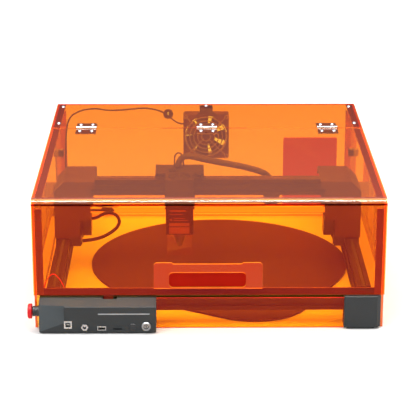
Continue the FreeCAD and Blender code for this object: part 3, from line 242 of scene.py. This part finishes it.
def braid(name, color, other):
    """Woven cable sleeving: two crossed sets of fine ribs."""
    look = Look(name, color, roughness=0.55, Sheen_Weight=0.2)
    both = look.add("Math")
    both.operation = "MAXIMUM"
    for lean, height in zip((1, -1), both.inputs):
        wave = look.add("TexWave", Scale=0.32)
        wave.bands_direction = "DIAGONAL"
        look.links.new(look.place((1000.0, 1000.0 * lean, 700.0)), wave.inputs["Vector"])
        look.links.new(wave.outputs["Fac"], height)
    ribs = both.outputs[0]
    look.bump(ribs, depth=0.0004, strength=0.8)
    look.vary_color(look.remap(ribs, (0.2, 1), (0, 0.6)), other)
    return look.material


def painted(name, color, roughness, gloss=0.5):
    """Smooth paint or coloured plastic with faint orange peel."""
    look = Look(name, color, roughness, Specular_IOR_Level=gloss, Coat_Weight=0.6 * gloss,
                Coat_Roughness=0.15)
    look.grain(500.0, depth=0.00006, strength=0.5)
    look.mottle(40.0, shade(color, 0.85))
    look.worn_edges(shade(color, 1.3), amount=0.4)
    return look.material


def board_wood(name, color, other):
    """A plain wooden board with fine long grain."""
    look = Look(name, color, roughness=0.6)
    rings = look.noise((6.0, 90.0, 90.0), detail=5.0)
    look.vary_color(look.remap(rings, NOISE_RANGE, (0, 0.35)), other)
    look.mottle(7.0, shade(color, 0.93))
    look.bump(rings, depth=0.00012, strength=0.6)
    return look.material


# The tint of the upright sheets, the tint of the roof, and the colour of the roof's painted glow. The roof's
# faces take a copy of the sheets' acrylic with a slightly redder tint and a stronger glow: painted shade, and
# a painted reflection of the backdrop at a grazing angle.
SHEET_TINT, ROOF_TINT = (0.985, 0.505, 0.02), (0.95, 0.47, 0.02)
ROOF_PAINTED_GLOW = (1.0, 0.1, 0.06)
SHEET = acrylic("orange acrylic", SHEET_TINT, painted_glow_color=(1.0, 0.05, 0.1), glow=0.055, gloss=(0.7, 0.1, 0.1))
ROOF = acrylic("roof acrylic", ROOF_TINT, ROOF_PAINTED_GLOW, glow=0.08, gloss=(0.9, 0.35, 0.4))
# The lower part of the lid's bend is tinted dark red with little glow: painted shade for the dark things that
# the bend refracts.
SHADED_BEND = acrylic("acrylic bend shade", (0.25, 0.01, 0.002), painted_glow_color=(1.0, 0.1, 0.02), glow=0.01, gloss=(0.5, 0.2, 0.1))
CREST = acrylic("acrylic crest", ROOF_TINT, ROOF_PAINTED_GLOW, glow=0.06)
PLATE = acrylic("plate acrylic", (0.93, 0.45, 0.02), painted_glow_color=(1.0, 0.32, 0.12), glow=0.08, coat=0.6)
GRIP = acrylic("grip plate acrylic", (0.93, 0.6, 0.05), painted_glow_color=(1.0, 0.42, 0.2), glow=0.05, coat=0.2)
SHIELD = acrylic("clear shield", (0.95, 0.80, 0.70), painted_glow_color=(1.0, 0.2, 0.1), glow=0.006, coat=1.0)
# The sheets' edges, the low front panel's top and the grip plate's rim have a painted glow in their own
# colours.
EDGE = acrylic_edge("acrylic edge", (0.9, 0.13, 0.012), 0.2)
GLOW = acrylic_edge("acrylic upper edge", (0.55, 0.008, 0.03), 0.25)
RIM = acrylic_edge("grip plate rim", (0.9, 0.24, 0.02), 0.3)
INSERT = painted("slot insert", (0.34, 0.006, 0.0005), 0.4, gloss=0.03)
# The lid strips at the sides take a lighter copy of the strips' colour, and those across the front the darker
# one: painted light and painted shade.
LIT_SIDE_SEAL = painted("lid side strip lit", (0.62, 0.25, 0.16), 0.5)
STRIP = painted("strip acrylic", (0.42, 0.13, 0.06), 0.35)
SEAL = painted("lid strip", (0.40, 0.15, 0.10), 0.5)
SCREW = bare_metal("screw steel", (0.46, 0.46, 0.48), 0.32)
HINGE = bare_metal("hinge steel", (0.52, 0.50, 0.49), 0.32)
BLACK = moulded("black moulding", (0.022, 0.022, 0.022), 0.48)
# The covers' dark plastic is lifted to a brownish red: their own dark colour with a painted reflection of the
# sheets' orange glow.
COVER = moulded("cover moulding", (0.055, 0.032, 0.027), 0.36)
BOX = moulded("box moulding", (0.014, 0.017, 0.0185), 0.5)
# A lighter copy of the box moulding for the facet that tilts up: painted light.
LIT_FACET = moulded("facet moulding lit", (0.036, 0.045, 0.05), 0.4)
RAIL = anodised("black anodised", (0.026, 0.019, 0.019), 0.46, brush=(900.0, 30.0, 900.0))
BEAM = anodised("beam anodised", (0.022, 0.017, 0.017), 0.46, brush=(30.0, 900.0, 900.0))
# A lighter copy of the beam's anodising for its upward faces: painted light.
LIT_BEAM_TOP = anodised("beam top anodised lit", (0.11, 0.075, 0.065), 0.36, brush=(30.0, 900.0, 900.0))
NOZZLE = anodised("nozzle anodised", (0.09, 0.09, 0.1), 0.35, brush=(30.0, 30.0, 1500.0))
COATED = painted("black coated steel", (0.03, 0.03, 0.032), 0.45)
# The guard's bare metal wire is given a light brownish non-metal colour: a painted reflection.
WIRE = painted("guard wire", (0.24, 0.2, 0.18), 0.35)
CABLE = rubbery("cable jacket", (0.012, 0.012, 0.013), 0.45)
RED_LEAD = rubbery("red lead", (0.7, 0.02, 0.01), 0.4)
BELT = rubbery("belt rubber", (0.02, 0.02, 0.02), 0.6)
SLEEVE = braid("woven sleeve", (0.012, 0.012, 0.014), (0.06, 0.06, 0.065))
PULLEY = bare_metal("machined pulley", (0.72, 0.73, 0.75), 0.3)
MOTOR = painted("motor black", (0.035, 0.035, 0.038), 0.4)
FOOT = rubbery("foot rubber", (0.02, 0.02, 0.02), 0.7)
CIRCUIT = painted("solder mask", (0.02, 0.16, 0.07), 0.35)
SOCKET = bare_metal("tinned socket", (0.50, 0.50, 0.49), 0.3)
SOCKET_CORE = painted("socket core", (0.30, 0.30, 0.29), 0.4)
JACK = bare_metal("nickel nut", (0.42, 0.43, 0.45), 0.25)
KEY = bare_metal("key metal", (0.30, 0.31, 0.32), 0.3)
KEYHOLE_SHADE = painted("keyhole shade", (0.012, 0.012, 0.013), 0.5)
BUTTON = moulded("button moulding", (0.02, 0.022, 0.024), 0.35)
RED = painted("stop red", (0.62, 0.008, 0.014), 0.5, gloss=0.15)
KNOB = painted("knob red", (0.6, 0.02, 0.02), 0.3)
LABEL = painted("laser label", (0.26, 0.085, 0.10), 0.4, gloss=0.3)
MARK = painted("laser marks", (0.24, 0.06, 0.07), 0.5, gloss=0.3)
SILVER = bare_metal("silver line", (0.40, 0.43, 0.45), 0.35)
WOOD = board_wood("work board", (0.052, 0.015, 0.018), (0.042, 0.012, 0.014))

FINISH = {
    SHEET: ["side_panel_left", "side_panel_right", "rear_panel", "rear_roof_strip", "low_front_panel",
            "lid_panel"],
    PLATE: ["rear_cover_plate", "rear_tie_bar"],
    GRIP: ["lid_grip_plate"],
    SHIELD: ["laser_shield"],
    STRIP: ["joining_strips"],
    SEAL: ["lid_seal_strips"],
    SCREW: ["enclosure_screws", "lid_screws"],
    HINGE: ["hinge_fixed_leaves", "hinge_lid_leaves", "hinge_pins"],
    BLACK: ["exhaust_fan_rotor", "cable_clip", "panel_blocks", "rear_corner_blocks", "x_carriage_cover",
            "laser_fan_rotor", "estop_base"],
    COVER: ["cover_left", "cover_right", "exhaust_fan_frame"],
    BOX: ["control_box_shell", "control_box_base", "front_corner_block"],
    RAIL: ["rail_left", "rail_right"],
    BEAM: ["front_rail", "x_beam", "x_saddle", "laser_housing"],
    COATED: ["fan_bracket", "carriage_left", "carriage_right"],
    WIRE: ["fan_guard"],
    BELT: ["y_belts", "x_belt"],
    PULLEY: ["y_drive_wheels", "x_drive_pulley", "x_idler_pulley"],
    MOTOR: ["drive_motors"],
    FOOT: ["rubber_feet"],
    CIRCUIT: ["control_board"],
    SOCKET: ["usb_sockets"],
    JACK: ["power_jack"],
    KEY: ["key_switch_housing", "key_barrel"],
    BUTTON: ["start_button"],
    RED: ["estop_head"],
    KNOB: ["focus_knob"],
    NOZZLE: ["laser_nozzle"],
    WOOD: ["work_board"],
}


# ---- Finishes of the CAD nodes ---------------------------------------------------------------------------

# How much of a face's normal points along an axis when the face counts as looking along it.
FACING = 0.9
# How much of a face's normal points up or down where the lid's bend, the bend's crest and the roof begin, and
# where the crest ends.
BEND_START, CREST_START, ROOF_START, CREST_END = 0.1, 0.4, 0.75, 0.95
# Heights above which a face may belong to the bend or to the roof, in metres.
BEND_HEIGHT, ROOF_HEIGHT = 0.15, 0.2
# How much of the facet's normal points left, at least.
FACET_LEAN = 0.03
# How far from the enclosure's middle the strips at its sides are, in metres.
SIDE_STRIPS = 0.27
# How far behind the lid's front face the grip plate's insert begins, in millimetres.
INSERT_START = 0.3


def apply_finishes():
    """Gives every CAD node its material."""
    for material, names in FINISH.items():
        for name in names:
            mesh = NODES[name].data
            mesh.materials.clear()
            mesh.materials.append(material)


def repaint(name, material, chosen):
    """Gives the material to those faces of a node that a test chooses."""
    mesh = NODES[name].data
    slot = len(mesh.materials)
    mesh.materials.append(material)
    for polygon in mesh.polygons:
        if chosen(polygon):
            polygon.material_index = slot


def light_edges(name, axis, glow=EDGE):
    """Puts the edge material, with its painted glow, on a sheet's narrow faces.

    The axis (0, 1 or 2) is the one that the sheet's thickness lies along.
    """
    repaint(name, glow, lambda polygon: abs(polygon.normal[axis]) <= FACING)


def is_roof(polygon):
    """True for the upper and lower faces of the roof."""
    return abs(polygon.normal.z) > ROOF_START and polygon.center.z > ROOF_HEIGHT


def is_bend(polygon):
    """True for the faces of the bend between the roof and the front, which take a dark red painted shade."""
    return BEND_START < abs(polygon.normal.z) < CREST_START and polygon.center.z > BEND_HEIGHT


def is_crest(polygon):
    """True for the upper faces of that bend, which catch the light."""
    return CREST_START <= abs(polygon.normal.z) < CREST_END and polygon.center.z > BEND_HEIGHT


def is_facet(polygon):
    """True for the control box's slanted left facet, which takes a lighter copy of the box moulding: painted
    light on a face that tilts up.
    """
    return polygon.normal.x < -FACET_LEAN and polygon.normal.y < -FACING


def is_side(polygon):
    """True for faces close to the enclosure's left or right side."""
    return abs(polygon.center.x - SHIFT.x) > SIDE_STRIPS


def is_top(polygon):
    """True for faces that look up."""
    return polygon.normal.z > FACING


def is_beam_top(polygon):
    """True for the strips of the cross beam's top that lie between its grooves, which take a lighter copy of
    the beam's anodising as painted light.
    """
    return is_top(polygon) and polygon.center.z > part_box("x_beam")[1].z - MM


def is_insert(polygon):
    """True for the faces of the grip plate's insert, which fills the lid's slot."""
    return polygon.center.y > at(0, INSERT_START, 0).y


apply_finishes()
for sheet in ("side_panel_left", "side_panel_right"):
    light_edges(sheet, 0)
for sheet in ("rear_panel", "low_front_panel", "rear_cover_plate"):
    light_edges(sheet, 1)
light_edges("lid_grip_plate", 1, RIM)
light_edges("rear_roof_strip", 2)
# The roof's faces take their copy of the acrylic, with its painted shade and painted reflection.
for roof in ("lid_panel", "rear_roof_strip"):
    repaint(roof, ROOF, is_roof)
repaint("lid_panel", SHADED_BEND, is_bend)
repaint("lid_panel", CREST, is_crest)
repaint("control_box_shell", LIT_FACET, is_facet)
# The low front panel's top faces take the upper edge material and its painted glow.
repaint("low_front_panel", GLOW, is_top)
# The strips at the lid's sides take the lighter copy of the strip colour: painted light.
repaint("lid_seal_strips", LIT_SIDE_SEAL, is_side)
repaint("x_beam", LIT_BEAM_TOP, is_beam_top)
repaint("lid_grip_plate", INSERT, is_insert)


# ---- Cables ----------------------------------------------------------------------------------------------

# The routes of cables: control points in millimetres. The first three are part.py's.
FAN_LEAD = [(-46, 603, 193), (-57, 603, 193), (-77, 611, 208), (-92, 612, 218), (-122, 612, 224.5),
            (-155, 612, 221), (-195, 612, 218), (-226, 612, 223.5), (-256, 611, 219), (-279, 608, 205),
            (-285, 605, 170), (-286, 602, 120), (-287, 595, 76), (-288, 593, 22), (-288, 565, 1.8),
            (-289.8, 509, 1.8), (-291.2, 453, 1.8), (-292.2, 397, 1.8), (-292.8, 341, 1.8), (-293, 285, 1.8),
            (-292.7, 229, 1.8), (-291.9, 173, 1.8), (-290.6, 117, 1.8), (-288.8, 61, 1.8), (-284, 22.5, 11)]
CARRIAGE_CABLE = [(-216.7, 300, 97.8), (-208, 300, 98.4), (-197, 300, 106.4), (-183, 300, 109.8),
                  (-170.5, 300, 105), (-164.2, 300, 93), (-168.5, 300, 81), (-180, 300, 70.5),
                  (-198, 300, 60.3), (-217, 300, 55.2), (-235.5, 300, 53.2)]
WOVEN_SLEEVE = [(-55, 330, 186), (-54, 330, 200), (-38, 330.5, 209), (-8, 331, 201), (24, 332, 194),
                (56, 333, 188), (86, 333.5, 180.5), (110, 334, 172), (120, 334, 158), (120, 334, 141)]
# A thin red lead that loops up behind the control box.
INTERLOCK_LEAD = [(-285, 19, 49), (-287, 29, 59), (-283.5, 30, 72), (-277, 30, 84), (-268.5, 30, 91),
                  (-260, 30, 83), (-252.5, 30, 70), (-248, 29, 57), (-247, 19, 46)]
# A thin lead that leaves the carriage cover beside the sleeve and goes back into the cover's plug.
SENSOR_LEAD = [(-45, 338, 184), (-45, 338, 197), (-47, 334, 209), (-55, 328, 215), (-61, 320, 212),
               (-62, 312, 203), (-61, 309, 190)]


def cable(name, route, radius, material):
    """A round cable along one smooth spline whose control points are given in millimetres."""
    curve = bpy.data.curves.new(name, "CURVE")
    curve.dimensions = "3D"
    curve.bevel_depth = radius * MM
    curve.bevel_resolution = 6
    curve.resolution_u = 12
    curve.use_fill_caps = True
    spline = curve.splines.new("NURBS")
    spline.points.add(len(route) - 1)
    for point, place in zip(spline.points, route):
        point.co = (*at(*place), 1)
    spline.order_u = 3
    spline.use_endpoint_u = True
    curve.materials.append(material)
    thing = bpy.data.objects.new(name, curve)
    bpy.context.scene.collection.objects.link(thing)
    return thing


def as_mesh(thing):
    """The same object with its curve turned into a smooth mesh."""
    bpy.context.view_layer.update()
    solid = bpy.data.meshes.new_from_object(thing.evaluated_get(bpy.context.evaluated_depsgraph_get()))
    solid.shade_smooth()
    name = thing.name
    bpy.data.objects.remove(thing)
    copy = bpy.data.objects.new(name, solid)
    bpy.context.scene.collection.objects.link(copy)
    return copy


fan_lead = cable("fan_lead", FAN_LEAD, radius=1.6, material=CABLE)
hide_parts("fan_cable")
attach(fan_lead, "base")
motor_lead = cable("motor_lead", CARRIAGE_CABLE, radius=3.3, material=CABLE)
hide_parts("carriage_cable")
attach(motor_lead, "gantry")
woven_sleeve = as_mesh(cable("woven_sleeve", WOVEN_SLEEVE, radius=6, material=SLEEVE))
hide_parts("cable_sleeve")
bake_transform(woven_sleeve)
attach(cable("sensor_lead", SENSOR_LEAD, radius=1.5, material=CABLE), "x_carriage")
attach(cable("interlock_lead", INTERLOCK_LEAD, radius=0.7, material=RED_LEAD), "base")


# ---- Trim ------------------------------------------------------------------------------------------------

# Faces of the CAD pieces that the trim lies on, and the middle of the laser module's fan, in millimetres.
BOX_LEFT, BOX_FRONT, LASER_FRONT = -291, -26, 235
LASER_FAN = (-52, 259, 189.4)


def piece(name, body, material, shape):
    """Makes an object of a bmesh and lets it ride on a body."""
    mesh = bpy.data.meshes.new(name)
    bmesh.ops.recalc_face_normals(shape, faces=shape.faces)
    shape.to_mesh(mesh)
    shape.free()
    mesh.materials.append(material)
    mesh.shade_smooth()
    mesh.set_sharp_from_angle(angle=math.radians(35))
    thing = bpy.data.objects.new(name, mesh)
    bpy.context.scene.collection.objects.link(thing)
    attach(thing, body)
    return thing


def blocks(name, body, material, corners, bevel=0.3):
    """One piece made of bevelled blocks, each given by its ranges along x, y and z in millimetres."""
    shape = bmesh.new()
    for ranges in corners:
        low = at(*(pair[0] for pair in ranges))
        high = at(*(pair[1] for pair in ranges))
        made = bmesh.ops.create_cube(shape, size=1)["verts"]
        for vertex in made:
            vertex.co = Vector(low[i] if vertex.co[i] < 0 else high[i] for i in range(3))
    bmesh.ops.bevel(shape, geom=shape.edges[:], offset=bevel * MM, segments=2, affect="EDGES")
    return piece(name, body, material, shape)


def lathe(shape, profile, centre, across, along, steps=40):
    """Adds a closed turned ring to a bmesh.

    The profile is (radius, height) pairs in millimetres, turned about a line through the centre.
    """
    side = along.cross(across)
    rings = []
    for step in range(steps):
        turn = math.tau * step / steps
        outward = across * math.cos(turn) + side * math.sin(turn)
        rings.append([shape.verts.new(centre + (outward * r + along * h) * MM) for r, h in profile])
    for one, two in zip(rings, rings[1:] + rings[:1]):
        for i in range(len(profile)):
            j = (i + 1) % len(profile)
            if profile[i][0] or profile[j][0]:
                shape.faces.new((one[i], one[j], two[j], two[i]))
    bmesh.ops.remove_doubles(shape, verts=shape.verts[:], dist=1e-7)


def turned(name, body, material, profile, place, across, along, steps=40):
    """One turned piece about a line through a place given in millimetres."""
    shape = bmesh.new()
    lathe(shape, profile, at(*place), across, along, steps)
    return piece(name, body, material, shape)


def wire_ring(radius, thick, sides=8):
    """The outline of a ring's round section with that radius and thickness."""
    half = thick / 2
    turns = [math.tau * i / sides for i in range(sides)]
    return [(radius + half * math.cos(turn), half * math.sin(turn)) for turn in turns]


def laser_trim():
    """The laser module's front label, a plain plate with generic bars above it, and its fan's wire grille."""
    label_wide, label_deep = (-71.4, -33.8), (LASER_FRONT - 0.6, LASER_FRONT)
    label_rows = [(90, 102.6), (104.6, 110.7)]
    blocks("laser_label", "laser", LABEL, [(label_wide, label_deep, row) for row in label_rows])
    mark_deep = (LASER_FRONT - 0.3, LASER_FRONT)
    lines = [((-70, -40), (133, 135.5)), ((-70, -46), (127, 128.5)), ((-63, -42), (119, 120.5)),
             ((-63, -36), (115, 116.5)), ((-70, -66), (115, 119))]
    blocks("laser_marks", "laser", MARK, [(x, mark_deep, z) for x, z in lines], bevel=0.1)
    grille = bmesh.new()
    for radius in (6, 11, 16, 20.5):
        lathe(grille, wire_ring(radius, thick=1.0), at(*LASER_FAN), X, Z)
    piece("laser_fan_grille", "laser", COATED, grille)
    bar_high = (188.9, 189.9)
    bars = [((-73.5, -30.5), (258.4, 259.6), bar_high), ((-52.6, -51.4), (237.5, 280.5), bar_high)]
    blocks("laser_grille_bars", "laser", COATED, bars)


def box_trim():
    """The control box's silver line, what shows inside its sockets, and dark pieces of painted shade in the
    gap around its key and in its keyhole.
    """
    line = ((-190, -102), (BOX_FRONT - 0.3, BOX_FRONT + 0.2), (35.6, 37.4))
    blocks("box_line", "base", SILVER, [line], bevel=0.1)
    tongue_deep = (BOX_FRONT + 2, BOX_FRONT + 9)
    blocks("usb_b_tongue", "base", SOCKET_CORE, [((-244, -239.2), tongue_deep, (15.4, 18))])
    blocks("usb_a_tongue", "base", SOCKET_CORE, [((-189.2, -178.8), tongue_deep, (10.9, 12.6))])
    pin = [(0, 0), (0.9, 0), (1.15, 0.5), (1.15, 8), (0, 8)]
    turned("power_pin", "base", PULLEY, pin, (-213, BOX_FRONT + 1.5, 13), X, Y, steps=24)
    # A dark ring in the gap around the key barrel and a dark block in its keyhole: painted shade.
    gap = [(3.1, 2.4), (4.5, 2.4), (4.5, 2.62), (3.1, 2.62)]
    turned("key_gap", "key", KEYHOLE_SHADE, gap, (-108, BOX_FRONT, 14), X, -Y)
    slit = ((-108.9, -107.1), (BOX_FRONT - 2.7, BOX_FRONT - 2.2), (11.6, 16.4))
    blocks("keyhole", "key", KEYHOLE_SHADE, [slit], bevel=0.1)


def stop_head():
    """The stop switch's head: a domed mushroom, with a skirt that closes over the base when it is pushed."""
    stem = [(0, 3.4), (3, 3.4), (3, 15)]
    skirt = [(9.8, 15), (9.8, 12.4), (12.4, 12.4), (13, 13)]
    dome = [(13, 17.2), (12.5, 18.5), (11, 19.4), (7, 19.9), (0, 20)]
    head = turned("stop_mushroom", "estop", RED, stem + skirt + dome, (BOX_LEFT, -12, 37), Y, -X, steps=64)
    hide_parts("estop_head")


laser_trim()
box_trim()
stop_head()


# ---- Floor, light and camera -----------------------------------------------------------------------------

# How far the floor lies below the feet, so that their faces don't share one plane, in metres.
FLOOR_DROP = 0.0002
# The surroundings brighten from the lower to the upper direction, given as the height of a unit vector.
SKY_DIRECTIONS, SKY_STRENGTHS = (0.25, 0.7), (0.1, 1.6)
# The camera stands where the photograph was taken from. Its place, sensor and lens are in millimetres, its
# turns are in degrees, and its reach is in metres.
CAMERA_PLACE = (-31.74, -2698.06, 1125.26)
CAMERA_PITCH, CAMERA_YAW, CAMERA_ROLL = 18.578, 0.624, 0.089
SENSOR_WIDTH, LENS = 36, 146.1
CAMERA_REACH = 100


def floor():
    """A plain pale floor."""
    bpy.ops.mesh.primitive_plane_add(size=40)
    plane = bpy.context.object
    plane.name = "floor"
    plane.location.z = -FLOOR_DROP
    look = Look("floor", (0.93, 0.93, 0.93), roughness=0.7, Specular_IOR_Level=0.0)
    plane.data.materials.append(look.material)


def soft_light(name, place, aim, size, power, only_gloss=False):
    """A large soft lamp, or one that only shows as a reflection. Metres and watts."""
    lamp = bpy.data.lights.new(name, "AREA")
    lamp.shape = "RECTANGLE"
    lamp.size, lamp.size_y = size
    lamp.energy = power
    thing = bpy.data.objects.new(name, lamp)
    thing.location = place
    thing.rotation_euler = (Vector(aim) - Vector(place)).to_track_quat("-Z", "Y").to_euler()
    thing.visible_diffuse = not only_gloss
    thing.visible_transmission = not only_gloss
    bpy.context.scene.collection.objects.link(thing)


def studio():
    """White surroundings and soft lamps above, in front and at the sides."""
    world = bpy.data.worlds.new("studio")
    world.use_nodes = True
    nodes, links = world.node_tree.nodes, world.node_tree.links
    background = nodes["Background"]
    background.inputs["Color"].default_value = (1, 1, 1, 1)
    coordinates = nodes.new("ShaderNodeTexCoord")
    split = nodes.new("ShaderNodeSeparateXYZ")
    ramp = nodes.new("ShaderNodeMapRange")
    limits = (*SKY_DIRECTIONS, *SKY_STRENGTHS)
    for socket, limit in zip(("From Min", "From Max", "To Min", "To Max"), limits):
        ramp.inputs[socket].default_value = limit
    links.new(coordinates.outputs["Generated"], split.inputs[0])
    links.new(split.outputs["Z"], ramp.inputs["Value"])
    links.new(ramp.outputs["Result"], background.inputs["Strength"])
    bpy.context.scene.world = world
    soft_light("top", place=(0, 0.2, 2.4), aim=(0, 0, 0), size=(2.4, 2.0), power=20)
    soft_light("front", place=(-2.0, -2.0, 1.8), aim=(0, 0, 0.1), size=(1.6, 1.2), power=16)
    soft_light("right", place=(2.2, -0.6, 1.4), aim=(0, 0, 0.1), size=(1.4, 1.4), power=8)
    soft_light("left", place=(-2.6, -1.0, 1.0), aim=(0, -0.2, 0.1), size=(1.0, 1.0), power=9)
    soft_light("overhead", (0, -0.8, 2.0), (0, -0.3, 0.2), size=(3.0, 0.6), power=150, only_gloss=True)


def camera():
    """The camera: above the front, looking slightly down, with a long lens."""
    pitch, yaw, roll = (math.radians(turn) for turn in (CAMERA_PITCH, CAMERA_YAW, CAMERA_ROLL))
    forward = Vector((math.sin(yaw) * math.cos(pitch), math.cos(yaw) * math.cos(pitch), -math.sin(pitch)))
    right = Vector((math.cos(yaw), -math.sin(yaw), 0))
    up = right.cross(forward)
    rolled_right = right * math.cos(roll) + up * math.sin(roll)
    rolled_up = up * math.cos(roll) - right * math.sin(roll)
    turn = Matrix((rolled_right, rolled_up, -forward)).transposed()
    data = bpy.data.cameras.new("camera")
    data.sensor_width = SENSOR_WIDTH
    data.lens = LENS
    data.clip_end = CAMERA_REACH
    thing = bpy.data.objects.new("camera", data)
    thing.matrix_world = Matrix.Translation(at(*CAMERA_PLACE)) @ turn.to_4x4()
    bpy.context.scene.collection.objects.link(thing)
    bpy.context.scene.camera = thing


floor()
studio()
camera()
bpy.context.scene.view_settings.view_transform = "Standard"
